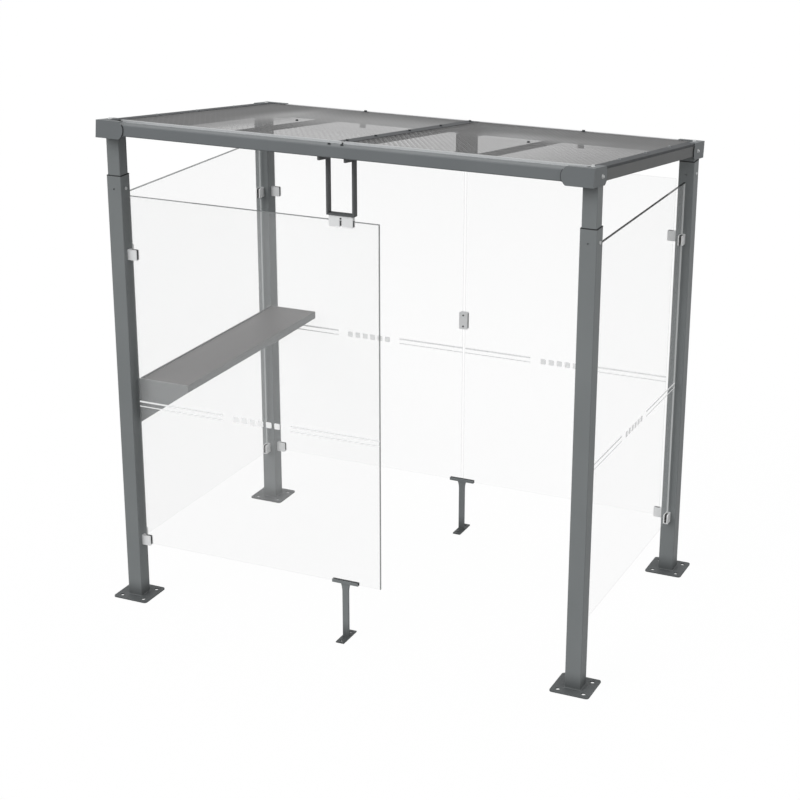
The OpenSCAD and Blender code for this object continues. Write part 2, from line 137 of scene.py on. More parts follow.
def finishMaterial(material, tree, settings, links):
    shader = addNode(tree, "ShaderNodeBsdfPrincipled", settings, links)
    addNode(tree, "ShaderNodeOutputMaterial", {}, {"Surface": (shader, "BSDF")})
    return material


# Powder-coated steel: sprayed and baked, so a satin coat with a fine orange-peel skin and
# slight cloudiness in its shade; painted shade darkens it towards the ground, and on the shelf the
# faces that look towards +X and towards the front are painted paler, a painted highlight
def powderCoat(name, look):
    material, tree = newMaterial(name)
    place = objectPlace(tree)
    cloud = addNoise(tree, place, look["cloudMm"], look["cloudDetail"])
    shade = addBlend(tree, cloud, look["dark"], look["light"])
    peel = addNoise(tree, place, look["peelMm"], look["peelDetail"])
    gloss = addRamp(tree, peel, low=look["rough"] - look["smoother"], high=look["rough"] + look["rougher"])
    skin = addBump(tree, peel, look["peelStrength"], look["peelDepth"])
    # painted shade: the coat darkens towards the ground, standing in for the shade near the floor
    height = splitAxes(tree, place)["Z"]
    unshaded = addRamp(tree, height, 0.0, look["groundShadeHeight"], look["groundShade"], 1.0, "SMOOTHSTEP")
    groundShaded = addNode(tree, "ShaderNodeMix", {"data_type": "RGBA", "blend_type": "MULTIPLY", 0: 1.0},
                    {6: shade, 7: unshaded}), 2
    # painted highlight: faces that look towards +X or towards the front blend towards a paler grey; only the
    # shelf and its folds use it
    sides = splitAxes(tree, faceNormal(tree))
    forward = addMath(tree, "MULTIPLY", sides["Y"], -1.0)
    litFacing = addMath(tree, "MAXIMUM", sides["X"], forward)
    litSide = addRamp(tree, litFacing, look["litSideFrom"], 1.0, 0.0, look["litSide"])
    sideLit = addBlend(tree, litSide, groundShaded, look["litSideColor"])
    return finishMaterial(material, tree, {"Specular IOR Level": look["shine"]},
                          {"Base Color": sideLit, "Roughness": gloss, "Normal": skin})


paintLook = {"dark": "#7a7e7f", "light": "#85898a", "cloudMm": 260, "cloudDetail": 3.0,
             "peelMm": 3, "peelDetail": 2.0, "peelStrength": 0.12, "peelDepth": 0.2 * mm,
             "rough": 0.45, "smoother": 0.05, "rougher": 0.07, "shine": 0.3,
             "groundShadeHeight": 95 * mm, "groundShade": 0.4, "litSideFrom": 0.5, "litSide": 0.0, "litSideColor": "#a1a5a6"}
# the coat is one grey: these are lighter and darker copies of it, painted light and shade set part by part;
# the front and left beams and caps, the right beam, the base plates with the weld beads, the roof trims and
# clamping bar, the purlins, rafter and hangers, and the shelf are darker, and the rear beam is lighter
beamLook = dict(paintLook, dark="#696d6f", light="#737779")
rightBeamLook = dict(paintLook, dark="#5f6060", light="#686969")
rearBeamLook = dict(paintLook, dark="#83888b", light="#8d9295")
plateLook = dict(paintLook, dark="#56595a", light="#626566", cloudMm=90, rough=0.55, groundShade=1.0)
trimLook = dict(paintLook, dark="#505254", light="#5a5c5e", cloudMm=180, rough=0.6, shine=0.1)
hangerLook = dict(paintLook, dark="#57595a", light="#626465", cloudMm=120)
shelfLook = dict(paintLook, dark="#716f6f", light="#7a7878", cloudMm=320, litSide=0.6)
# painted highlight: a paler copy of the shelf's grey, for the shelf's folds
foldHighlightLook = dict(shelfLook, dark="#9c9c9c", light="#a8a8a8")
greyCoat = powderCoat("powderCoatGrey", paintLook)
beamCoat = powderCoat("powderCoatBeamsShaded", beamLook)
rightBeamCoat = powderCoat("powderCoatRightBeamShaded", rightBeamLook)
rearBeamCoat = powderCoat("powderCoatRearBeamLit", rearBeamLook)
shelfCoat = powderCoat("powderCoatShelfShaded", shelfLook)
plateCoat = powderCoat("powderCoatBasePlatesShaded", plateLook)
trimCoat = powderCoat("powderCoatRoofTrimsShaded", trimLook)
hangerCoat = powderCoat("powderCoatHangersShaded", hangerLook)
foldHighlightCoat = powderCoat("powderCoatFoldHighlight", foldHighlightLook)


# Satin zinc or aluminium with fine, even grain from blasting: soft broad highlights
def satinMetal(name, look):
    material, tree = newMaterial(name)
    grain = addNoise(tree, objectPlace(tree), look["grainMm"], look["grainDetail"])
    shade = addBlend(tree, grain, look["dark"], look["light"])
    gloss = addRamp(tree, grain, low=look["rough"] - look["uneven"], high=look["rough"] + look["uneven"])
    blast = addBump(tree, grain, look["grainStrength"], look["grainDepth"])
    return finishMaterial(material, tree, {"Metallic": look["metallic"]},
                          {"Base Color": shade, "Roughness": gloss, "Normal": blast})


boltLook = {"dark": "#d9dbdb", "light": "#e8e9e9", "grainMm": 2, "grainDetail": 4.0, "grainStrength": 0.08,
            "grainDepth": 0.1 * mm, "rough": 0.35, "uneven": 0.06, "metallic": 0.3}
darkBoltLook = dict(boltLook, dark="#3c3e40", light="#4b4e50", rough=0.4, metallic=0.5)
dullBoltLook = dict(boltLook, dark="#85888a", light="#999c9d", rough=0.45)
clampLook = dict(boltLook, dark="#eff0f1", light="#f8f9f9", grainMm=1.2, rough=0.4, metallic=0.1)
closingLook = dict(boltLook, dark="#bfc1c2", light="#cdcfd0", grainMm=4, metallic=0.5)
clampMetal = satinMetal("satinZincClamps", clampLook)
boltMetal = satinMetal("zincPlatedBolts", boltLook)
darkBolt = satinMetal("blackenedBolts", darkBoltLook)
dullBolt = satinMetal("weatheredBolts", dullBoltLook)
closingMetal = satinMetal("millAluminium", closingLook)


# EPDM rubber: extruded, matt black with a faint bloom
def rubberMaterial(name, look):
    material, tree = newMaterial(name)
    bloom = addNoise(tree, objectPlace(tree), look["bloomMm"], look["bloomDetail"])
    shade = addBlend(tree, bloom, look["dark"], look["light"])
    return finishMaterial(material, tree, {"Roughness": look["rough"]}, {"Base Color": shade})


rubberLook = {"dark": "#1f2021", "light": "#2e3031", "bloomMm": 12, "bloomDetail": 3.0, "rough": 0.75}
sealRubber = rubberMaterial("epdmRubber", rubberLook)


# Toughened float glass: clear faces with a faint haze and a faint glow, a painted light standing in for
# reflections;
# its edges are ground matt, with a narrow ground strip on the faces along the top and the free end, and show
# as a line whose greys, set pane by pane and apart along the top, are painted light and shade of the light
# caught inside the glass
def paneGlass(name, look):
    material, tree = newMaterial(name)
    sides = splitAxes(tree, faceNormal(tree))
    spot = splitAxes(tree, objectPlace(tree))
    along = addMath(tree, "ABSOLUTE", sides[look["faceAxis"]])
    onEdge = addMath(tree, "LESS_THAN", along, look["edgeBelow"])
    flat = addMath(tree, "ABSOLUTE", sides["Z"])
    low = addMath(tree, "LESS_THAN", spot["Z"], look["bottomBelow"])
    underside = addMath(tree, "MULTIPLY", flat, low)
    line = addMath(tree, "SUBTRACT", onEdge, underside)
    atTop = addMath(tree, "GREATER_THAN", spot["Z"], look["top"] - look["arris"])
    atEnd = addMath(tree, "GREATER_THAN", spot["X"], look["end"] - look["arris"])
    strip = addMath(tree, "MAXIMUM", atTop, atEnd)
    matt = addMath(tree, "MAXIMUM", onEdge, strip)
    drawn = addMath(tree, "MAXIMUM", line, strip)
    level = addMath(tree, "MAXIMUM", flat, atTop)
    ground = addBlend(tree, level, look["edge"], look["rim"])
    shade = addBlend(tree, matt, look["haze"], ground)
    cover = addRamp(tree, drawn, low=look["faceCover"], high=look["edgeCover"])
    paintedGlow = addRamp(tree, matt, low=look["paintedGlow"], high=0.0)
    return finishMaterial(material, tree,
                          {"Roughness": look["rough"], "IOR": look["bending"], "Emission Color": white},
                          {"Base Color": shade, "Alpha": cover, "Emission Strength": paintedGlow})


# painted light and shade: the edge and rim greys differ pane by pane, and the right pane's top is nearly
# black; the faces' glow is a painted light
frontGlassLook = {"faceAxis": "Y", "edgeBelow": 0.5, "bottomBelow": 500 * mm, "arris": 3 * mm,
                  "haze": "#f2f3f3", "edge": "#828686", "rim": "#949898", "faceCover": 0.08,
                  "edgeCover": 0.85, "paintedGlow": 0.06, "rough": 0.04, "bending": 1.5,
                  "top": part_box("front_glass")[1].z, "end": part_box("front_glass")[1].x}
clearLook = dict(frontGlassLook, faceCover=0.06, paintedGlow=0.22, end=cadBounds[1][0])
leftGlassLook = dict(clearLook, faceAxis="X", edge="#c4c8c8", rim="#b6baba", arris=4 * mm,
                     top=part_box("left_glass")[1].z)
rightGlassLook = dict(clearLook, faceAxis="X", edge="#c8cbcb", rim="#101112", edgeCover=0.95, arris=4 * mm,
                      top=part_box("right_glass")[1].z)
backGlassLook = dict(clearLook, edge="#b9bcbc", rim="#b9bcbc", edgeCover=0.2, arris=0,
                     top=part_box("back_left_glass")[1].z)
frontGlass = paneGlass("toughenedGlassFront", frontGlassLook)
leftGlass = paneGlass("toughenedGlassLeft", leftGlassLook)
rightGlass = paneGlass("toughenedGlassRight", rightGlassLook)
backGlass = paneGlass("toughenedGlassBack", backGlassLook)


# Structured polycarbonate: smoke-grey sheet with a diamond web inside that shows against the light;
# the real web is too fine to show at this distance, so it is drawn coarser than it is, and how strongly it
# shows is painted light;
# painted shade darkens the sheet and makes it denser towards the side trims, and a pale patch down the slope,
# which ends before the low rear edge, is a painted reflection that veils what lies beneath
def webSheet(name, look):
    material, tree = newMaterial(name)
    spot = splitAxes(tree, objectPlace(tree))
    across = addMath(tree, "MULTIPLY", spot["X"], 2 * math.pi * perMetre(look["acrossMm"]))
    down = addMath(tree, "MULTIPLY", spot["Y"], 2 * math.pi * perMetre(look["downMm"]))
    rising = addMath(tree, "SINE", addMath(tree, "ADD", across, down))
    falling = addMath(tree, "SINE", addMath(tree, "SUBTRACT", across, down))
    web = addMath(tree, "MAXIMUM", rising, falling)
    line = addRamp(tree, web, look["lineStart"])
    offMean = addMath(tree, "SUBTRACT", line, look["lineMean"])
    # painted light: how strongly the web shows fades across the sheet
    span = addRamp(tree, spot["X"], look["fadeFrom"], look["fadeTo"], look["webNear"], look["webFar"])
    upper = addMath(tree, "GREATER_THAN", splitAxes(tree, faceNormal(tree))["Z"], look["upperAbove"])
    topSpan = addMath(tree, "MULTIPLY", span, upper)
    reach = addMath(tree, "ABSOLUTE", spot["X"])
    # painted shade: the sheet is darker and denser towards the side trims
    trimShade = addRamp(tree, reach, look["trimShadeFrom"], look["trimShadeTo"], curve="SMOOTHSTEP")
    # painted reflection: a pale veil down the slope over part of the sheet, muting the web beneath it
    veilRising = addRamp(tree, spot["Y"], look["veilFrom"], look["veilPeak"], curve="SMOOTHSTEP")
    veilFading = addRamp(tree, spot["Y"], look["veilPeak"], look["veilTo"], 1.0, look["veilEnd"], "SMOOTHSTEP")
    veilAcross = addRamp(tree, spot["X"], look["clear"], look["veilFull"], curve="SMOOTHSTEP")
    unveiled = addRamp(tree, veilRising, low=1.0, high=look["webUnderVeil"])
    unveiledSpan = addMath(tree, "MULTIPLY", topSpan, unveiled)
    ribs = addMath(tree, "MULTIPLY", offMean, unveiledSpan)
    amount = addRamp(tree, spot["X"], look["fadeFrom"], look["fadeTo"], look["veilNear"], look["veilFar"])
    veilArea = addMath(tree, "MULTIPLY", veilRising, veilAcross)
    bloom = addMath(tree, "MULTIPLY", veilArea, veilFading)
    veil = addMath(tree, "MULTIPLY", bloom, amount)
    smoke = addBlend(tree, trimShade, look["smoke"], look["trimShade"])
    shade = addBlend(tree, veil, smoke, look["veil"])
    film = addMath(tree, "MULTIPLY_ADD", trimShade, look["trimShadeCover"], look["cover"])
    veiledCover = addMath(tree, "MULTIPLY_ADD", veilArea, look["veilCover"], film)
    cover = addMath(tree, "ADD", ribs, veiledCover)
    return finishMaterial(material, tree, {"Roughness": look["rough"], "Specular IOR Level": look["shine"]},
                          {"Base Color": shade, "Alpha": cover})


# the right-hand sheet shows its web near the middle, a painted light; the left-hand one carries more painted
# shade at its trim and a wider painted reflection
rightSheetLook = {"smoke": "#828282", "trimShade": "#7c7c7c", "veil": "#aeaeae", "rough": 0.5, "shine": 0.12,
                  "acrossMm": 27, "downMm": 46, "lineStart": 0.2, "lineMean": 0.47, "upperAbove": 0.5,
                  "webNear": 0.45, "webFar": 0.12, "webUnderVeil": 0.3, "fadeFrom": 500 * mm,
                  "fadeTo": 900 * mm, "cover": 0.47, "trimShadeFrom": 620 * mm, "trimShadeTo": 1080 * mm,
                  "trimShadeCover": 0.12, "clear": 150 * mm, "veilFull": 420 * mm, "veilFrom": 0,
                  "veilPeak": 220 * mm, "veilTo": 480 * mm, "veilEnd": 0.1, "veilNear": 0.95,
                  "veilFar": 0.2, "veilCover": 0.1}
leftSheetLook = dict(rightSheetLook, trimShade="#7e7e7e", webNear=0.06, webFar=0.06, cover=0.44,
                     trimShadeFrom=580 * mm, trimShadeTo=780 * mm, trimShadeCover=0.2, clear=-900 * mm, veilFull=-720 * mm,
                     veilFrom=-450 * mm, veilPeak=280 * mm, veilTo=700 * mm, veilEnd=0.15, veilFar=0.95,
                     veilCover=0.14)
leftSheet = webSheet("smokePolycarbonateLeft", leftSheetLook)
rightSheet = webSheet("smokePolycarbonateRight", rightSheetLook)


# White film: opaque, faintly mottled, and glowing faintly, a painted light standing in for reflected light
def filmMaterial(name, look):
    material, tree = newMaterial(name)
    mottle = addNoise(tree, objectPlace(tree), look["mottleMm"], look["mottleDetail"])
    shade = addBlend(tree, mottle, look["dark"], look["light"])
    return finishMaterial(material, tree, {"Roughness": look["rough"], "Emission Color": white,
                                           "Emission Strength": look["paintedGlow"]}, {"Base Color": shade})


filmLook = {"dark": "#e6e7e7", "light": "#f1f2f2", "mottleMm": 8, "mottleDetail": 2.0, "rough": 0.6,
            "paintedGlow": 0.18}
whiteFilm = filmMaterial("whiteFilm", filmLook)
print("materials made")


# finishes of the frame's own nodes

slotFinish = {"grey_paint": greyCoat, "glass": frontGlass, "roof_sheet": rightSheet,
              "clamp_metal": clampMetal, "closing_aluminium": closingMetal, "rubber": sealRubber}
nodeFinish = {"front_beam": beamCoat, "left_beam": beamCoat, "right_beam": rightBeamCoat,
              "rear_beam": rearBeamCoat, "front_left_cap": beamCoat, "front_right_cap": beamCoat,
              "rear_left_cap": beamCoat, "rear_right_cap": beamCoat, "left_purlin": hangerCoat,
              "right_purlin": hangerCoat, "centre_rafter": hangerCoat, "base_plates": plateCoat,
              "clamping_bar": trimCoat, "left_edge_trim": trimCoat, "right_edge_trim": trimCoat,
              "front_hanger": hangerCoat, "rear_hanger": hangerCoat, "shelf": shelfCoat,
              "left_roof_sheet": leftSheet, "left_glass": leftGlass, "right_glass": rightGlass,
              "back_left_glass": backGlass, "back_right_glass": backGlass}
for part in frame["record"]["subparts"]:
    node = frame["nodes"][part["node"]]
    finish = nodeFinish.get(part["node"], slotFinish[part["material_slot"]])
    for slot in node.material_slots:
        slot.material = finish
print("finishes set")


# tools for modelling

smoothBelow = math.radians(35)  # a sharper edge than this stays sharp
squareTo = 0.9  # a normal with this much along an axis faces that way


def clearSelection():
    bpy.ops.object.select_all(action="DESELECT")


def startPiece(name):
    piece = bpy.context.object
    piece.name = name
    piece.data.name = name
    return piece


def pickFaces(piece, test):
    bpy.ops.object.mode_set(mode="EDIT")
    bpy.ops.mesh.select_mode(type="FACE")
    bpy.ops.mesh.select_all(action="DESELECT")
    bpy.ops.object.mode_set(mode="OBJECT")
    for face in piece.data.polygons:
        face.select = test(face)
    bpy.ops.object.mode_set(mode="EDIT")


def pickEdges(piece, test):
    bpy.ops.object.mode_set(mode="EDIT")
    bpy.ops.mesh.select_mode(type="EDGE")
    bpy.ops.mesh.select_all(action="DESELECT")
    bpy.ops.object.mode_set(mode="OBJECT")
    points = piece.data.vertices
    for edge in piece.data.edges:
        edge.select = test(points[edge.vertices[0]].co, points[edge.vertices[1]].co)
    bpy.ops.object.mode_set(mode="EDIT")


def facesUp(face):
    return face.normal.z > squareTo


def leaveEdit():
    bpy.ops.object.mode_set(mode="OBJECT")


def settle(piece):
    clearSelection()
    piece.select_set(True)
    bpy.context.view_layer.objects.active = piece
    bpy.ops.object.transform_apply(location=True, rotation=True, scale=True)


def joinPieces(pieces, name):
    clearSelection()
    for piece in pieces:
        piece.select_set(True)
    bpy.context.view_layer.objects.active = pieces[0]
    if len(pieces) > 1:
        bpy.ops.object.join()
    return startPiece(name)


def finishPiece(piece, material):
    settle(piece)
    bpy.ops.object.shade_smooth_by_angle(angle=smoothBelow)
    piece.data.materials.clear()
    piece.data.materials.append(material)
    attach(piece, "root")
    return piece


def placeCopies(model, name, places, material):
    copies = []
    for index, place in enumerate(places):
        copy = bpy.data.objects.new(f"{name}.{index}", model.data.copy())
        bpy.context.scene.collection.objects.link(copy)
        copy.data.transform(place)
        copies.append(copy)
    bpy.data.objects.remove(model)
    return finishPiece(joinPieces(copies, name), material)


def boxPiece(name, low, high):
    clearSelection()
    middle = [(a + b) / 2 for a, b in zip(low, high)]
    bpy.ops.mesh.primitive_cube_add(size=1, location=middle, scale=[b - a for a, b in zip(low, high)])
    piece = startPiece(name)
    settle(piece)
    return piece


# roof frame of reference, worked out from the left beam's box

roof = {"slope": math.radians(6.9)}
beamLow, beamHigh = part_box("left_beam")
cosine, sine = math.cos(roof["slope"]), math.sin(roof["slope"])
boxY, boxZ = beamHigh.y - beamLow.y, beamHigh.z - beamLow.z
roof["length"] = (boxY * cosine - boxZ * sine) / (cosine ** 2 - sine ** 2)
roof["beamHeight"] = (boxZ * cosine - boxY * sine) / (cosine ** 2 - sine ** 2)
roof["halfWidth"] = -beamLow.x
roofOrigin = Vector((0, beamLow.y, beamHigh.z - roof["beamHeight"] * cosine))
roofFrame = Matrix.Translation(roofOrigin) @ Matrix.Rotation(-roof["slope"], 4, "X")


def onRoof(x, v, w):
    return roofFrame @ Matrix.Translation((x, v, w))  # across, down the slope, up from the beams' underside


quarter = math.pi / 2
turns = {"+x": (quarter, "Y"), "-x": (-quarter, "Y"), "-y": (quarter, "X"), "+y": (-quarter, "X")}


def facing(point, side):
    angle, axis = turns[side]
    return Matrix.Translation(point) @ Matrix.Rotation(angle, 4, axis)


# fasteners, modelled once with their seat at z = 0; the shape values are shares of a bolt's own sizes

hexShape = {"washerSides": 20, "washerRound": 0.3, "chamfer": 0.06, "crown": 0.12}
screwShape = {"sides": 18, "round": 0.25, "roundSteps": 2, "topFrom": 0.9, "rim": 0.18, "socket": 0.6}


def addDisc(name, sides, width, height, seat):
    clearSelection()
    bpy.ops.mesh.primitive_cylinder_add(vertices=sides, radius=width / 2, depth=height,
                                        location=(0, 0, seat + height / 2))
    disc = startPiece(name)
    settle(disc)
    return disc


def modelHexBolt(bolt):
    thick = bolt["washerHeight"]
    washer = addDisc("washer", hexShape["washerSides"], bolt["washer"], thick, 0)
    pickEdges(washer, lambda a, b: min(a.z, b.z) > thick / 2)
    bpy.ops.mesh.bevel(offset=thick * hexShape["washerRound"], segments=1)
    leaveEdit()
    head = addDisc("head", 6, bolt["head"], bolt["headHeight"], thick)
    pickFaces(head, facesUp)
    bpy.ops.mesh.inset(thickness=bolt["head"] * hexShape["chamfer"],
                       depth=bolt["headHeight"] * hexShape["crown"])
    leaveEdit()
    return joinPieces([washer, head], "hexBolt")


def modelSocketScrew(screw):
    height = screw["headHeight"]
    head = addDisc("socketScrew", screwShape["sides"], screw["head"], height, 0)
    pickEdges(head, lambda a, b: min(a.z, b.z) > height / 2)
    bpy.ops.mesh.bevel(offset=height * screwShape["round"], segments=screwShape["roundSteps"])
    leaveEdit()
    pickFaces(head, lambda face: facesUp(face) and face.center.z > height * screwShape["topFrom"])
    bpy.ops.mesh.inset(thickness=screw["head"] * screwShape["rim"])
    bpy.ops.mesh.extrude_region_move(
        TRANSFORM_OT_translate={"value": (0, 0, -height * screwShape["socket"])})
    leaveEdit()
    return head


trimBolt = {"washer": 16 * mm, "washerHeight": 1.5 * mm, "head": 12 * mm, "headHeight": 5 * mm}
rearBolt = {"washer": 28 * mm, "washerHeight": 2 * mm, "head": 15 * mm, "headHeight": 6 * mm}
capBolt = {"washer": 18 * mm, "washerHeight": 1.6 * mm, "head": 13 * mm, "headHeight": 5 * mm}
postBolt = {"head": 14 * mm, "headHeight": 5 * mm, "belowTop": 58 * mm}
clampScrew = {"head": 8 * mm, "headHeight": 3 * mm, "belowTop": 12 * mm, "seamPitch": 57 * mm}
corners = ("front_left", "front_right", "rear_left", "rear_right")

trimTop = 60 * mm  # tops of the trims and of the sheets, above the beams' underside
sheetTop = 58 * mm
trimRows = {"inset": 38 * mm, "first": 430 * mm, "pitch": 352 * mm, "count": 3}

trimPlaces = []
for side in (-1, 1):
    for v in [trimRows["first"] + trimRows["pitch"] * i for i in range(trimRows["count"])]:
        trimPlaces.append(onRoof(side * (roof["halfWidth"] - trimRows["inset"]), v, trimTop))
placeCopies(modelHexBolt(trimBolt), "trimBolts", trimPlaces, dullBolt)

barRows = {"front": 150 * mm, "count": 4, "pitch": 59 * mm, "frontV": 42 * mm}
barPlaces = [onRoof(0, barRows["front"], trimTop)]
barPlaces += [onRoof(0, trimRows["first"] + trimRows["pitch"] * i, trimTop) for i in range(barRows["count"])]
barPlaces += [onRoof(side * barRows["pitch"] / 2, barRows["frontV"], roof["beamHeight"]) for side in (-1, 1)]
purlinRows = {"middle": 782 * mm, "rear": 38 * mm}
rearPlaces = []
for name in ("left_purlin", "right_purlin"):
    low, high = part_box(name)
    barPlaces.append(onRoof((low.x + high.x) / 2, purlinRows["middle"], sheetTop))
    rearPlaces.append(onRoof((low.x + high.x) / 2, roof["length"] - purlinRows["rear"], sheetTop))
placeCopies(modelHexBolt(trimBolt), "roofBolts", barPlaces, darkBolt)
placeCopies(modelHexBolt(rearBolt), "rearBolts", rearPlaces, darkBolt)

capRows = {"inset": 25 * mm, "top": 62 * mm, "side": 98 * mm, "stand": 4.5 * mm, "height": 24 * mm,
           "topHeight": 63 * mm}
capPlaces = []
for side in (-1, 1):
    for v in (capRows["top"], roof["length"] - capRows["top"]):
        capPlaces.append(onRoof(side * (roof["halfWidth"] - capRows["inset"]), v, capRows["topHeight"]))
    for v in (capRows["side"], roof["length"] - capRows["side"]):
        turn = Matrix.Rotation(side * quarter, 4, "Y")
        capPlaces.append(onRoof(side * (roof["halfWidth"] + capRows["stand"]), v, capRows["height"]) @ turn)
placeCopies(modelHexBolt(capBolt), "capBolts", capPlaces, boltMetal)

postPlaces = []
for corner in corners:
    low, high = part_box(corner + "_post")
    middle = (low + high) / 2
    boltZ = high.z - postBolt["belowTop"]
    postPlaces.append(facing((high.x, middle.y, boltZ), "+x"))
    postPlaces.append(facing((low.x, middle.y, boltZ), "-x"))
placeCopies(modelSocketScrew(postBolt), "postBolts", postPlaces, boltMetal)

low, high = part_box("seam_clamp")
screwPlaces = []
for side in (-1, 1):
    seamZ = (low.z + high.z) / 2 + side * clampScrew["seamPitch"] / 2
    screwPlaces.append(facing((0, low.y, seamZ), "-y"))
    screwPlaces.append(facing((0, high.y, seamZ), "+y"))
for node in ("front_top_clamp", "rear_top_clamp"):
    low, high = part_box(node)
    for face, axis in ((low.y, "-y"), (high.y, "+y")):
        screwPlaces.append(facing((0, face, high.z - clampScrew["belowTop"]), axis))
placeCopies(modelSocketScrew(clampScrew), "clampScrews", screwPlaces, darkBolt)
print("fasteners placed")


# stripes on the panes: two lines that stop short of the middle, and a row of plain squares there

stripes = {"upper": 988 * mm, "upperHeight": 8 * mm, "lower": 965 * mm, "lowerHeight": 5 * mm,
           "film": 0.1 * mm, "gap": 172 * mm, "square": 28 * mm, "squarePitch": 42 * mm, "squares": 6,
           "edge": 1 * mm, "roundShare": 0.15, "roundSteps": 2}


def stripePane(node, axis, outward):
    low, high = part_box(node)
    along = 1 - axis
    face = high[axis] if outward > 0 else low[axis]
    depth = sorted((face - outward * stripes["film"], face + outward * stripes["film"]))
    middle = (low[along] + high[along]) / 2
    spans = []
    for z, height in ((stripes["upper"], stripes["upperHeight"]), (stripes["lower"], stripes["lowerHeight"])):
        spans.append((low[along] + stripes["edge"], middle - stripes["gap"], z, height))
        spans.append((middle + stripes["gap"], high[along] - stripes["edge"], z, height))
    squareZ = (stripes["upper"] + stripes["lower"]) / 2
    for i in range(stripes["squares"]):
        start = middle + (i - (stripes["squares"] - 1) / 2) * stripes["squarePitch"] - stripes["square"] / 2
        spans.append((start, start + stripes["square"], squareZ, stripes["square"]))
    films = []
    for a, b, z, height in spans:
        corner, far = [0, 0, z - height / 2], [0, 0, z + height / 2]
        corner[along], far[along] = a, b
        corner[axis], far[axis] = depth
        film = boxPiece("film", corner, far)
        pickEdges(film, lambda p, q: abs(p[axis] - q[axis]) > stripes["film"] / 2)
        bpy.ops.mesh.bevel(offset=height * stripes["roundShare"], segments=stripes["roundSteps"])
        leaveEdit()
        films.append(film)
    return finishPiece(joinPieces(films, node + "_stripes"), whiteFilm)


for node, axis, outward in (("front_glass", 1, -1), ("left_glass", 0, -1), ("right_glass", 0, 1),
                            ("back_left_glass", 1, 1), ("back_right_glass", 1, 1)):
    stripePane(node, axis, outward)
print("stripes laid")


# weld beads where the posts meet their base plates

weld = {"leg": 3 * mm, "roundSteps": 3}


def postWeld(corner):
    low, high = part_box(corner + "_post")
    bead = boxPiece("weld", (low.x - weld["leg"], low.y - weld["leg"], low.z),
                    (high.x + weld["leg"], high.y + weld["leg"], low.z + weld["leg"]))
    pickFaces(bead, facesUp)
    width = high.x - low.x
    shrink = width / (width + 2 * weld["leg"])
    bpy.ops.transform.resize(value=(shrink, shrink, 1),
                             center_override=((low.x + high.x) / 2, (low.y + high.y) / 2, 0))
    leaveEdit()
    pickEdges(bead, lambda a, b: abs(a.z - b.z) > weld["leg"] / 2)
    bpy.ops.mesh.bevel(offset=weld["leg"], segments=weld["roundSteps"])
    leaveEdit()
    return bead


beads = [postWeld(corner) for corner in corners]
finishPiece(joinPieces(beads, "postWelds"), plateCoat)
print("welds laid")


# dark sealing lips round the upper tubes, at the open ends of the lower ones

seal = {"height": 4 * mm, "inset": 0.6 * mm, "round": 1 * mm, "roundSteps": 2}


def postSeal(corner):
    low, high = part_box(corner + "_post")
    tubeLow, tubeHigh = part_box(corner + "_upper_post")
    inner = tubeHigh.x - tubeLow.x
    ring = boxPiece("seal", (low.x + seal["inset"], low.y + seal["inset"], high.z),
                    (high.x - seal["inset"], high.y - seal["inset"], high.z + seal["height"]))
    pickFaces(ring, lambda face: abs(face.normal.z) > squareTo)
    bpy.ops.mesh.inset(thickness=(high.x - low.x - inner) / 2 - seal["inset"])
    bpy.ops.mesh.bridge_edge_loops()
    leaveEdit()
    top, half = high.z + seal["height"] / 2, inner / 2 + seal["round"]
    middle = (low + high) / 2
    pickEdges(ring, lambda a, b: min(a.z, b.z) > top and max(abs(c) for c in ((a + b) / 2 - middle).xy) > half
              and min(max(abs(c) for c in (p - middle).xy) for p in (a, b)) > half)
    bpy.ops.mesh.bevel(offset=seal["round"], segments=seal["roundSteps"])
    leaveEdit()
    return ring


seals = [postSeal(corner) for corner in corners]
finishPiece(joinPieces(seals, "postSeals"), sealRubber)
print("seals laid")


# dark rubber lips under the round ends of the caps' flanges: a painted shadow, standing in for the shade that
# the flange ends cast on the beams

shadeLip = {"round": 45.8 * mm, "half": math.radians(31), "thick": 2.5 * mm, "stand": 4.2 * mm, "steps": 10,
        "middle": 24.5 * mm, "frontTip": 132.5 * mm, "sideTip": 158.5 * mm, "merge": 0.05 * mm}


def modelCapShadeLip():
    clearSelection()
    turn = Matrix.Rotation(shadeLip["half"], 4, "Y")
    bpy.ops.mesh.primitive_plane_add(
        size=1, location=turn @ Vector((shadeLip["round"] + shadeLip["thick"] / 2, -shadeLip["stand"] / 2, 0)),
        rotation=(0, shadeLip["half"], 0))
    piece = startPiece("capShadeLip")
    piece.scale = (shadeLip["thick"], shadeLip["stand"], 1)
    settle(piece)
    bpy.ops.object.mode_set(mode="EDIT")
    bpy.ops.mesh.select_all(action="SELECT")
    bpy.ops.mesh.spin(steps=shadeLip["steps"], angle=2 * shadeLip["half"], center=(0, 0, 0), axis=(0, 1, 0))
    bpy.ops.mesh.select_all(action="SELECT")
    bpy.ops.mesh.remove_doubles(threshold=shadeLip["merge"])
    bpy.ops.mesh.normals_make_consistent(inside=False)
    leaveEdit()
    return piece


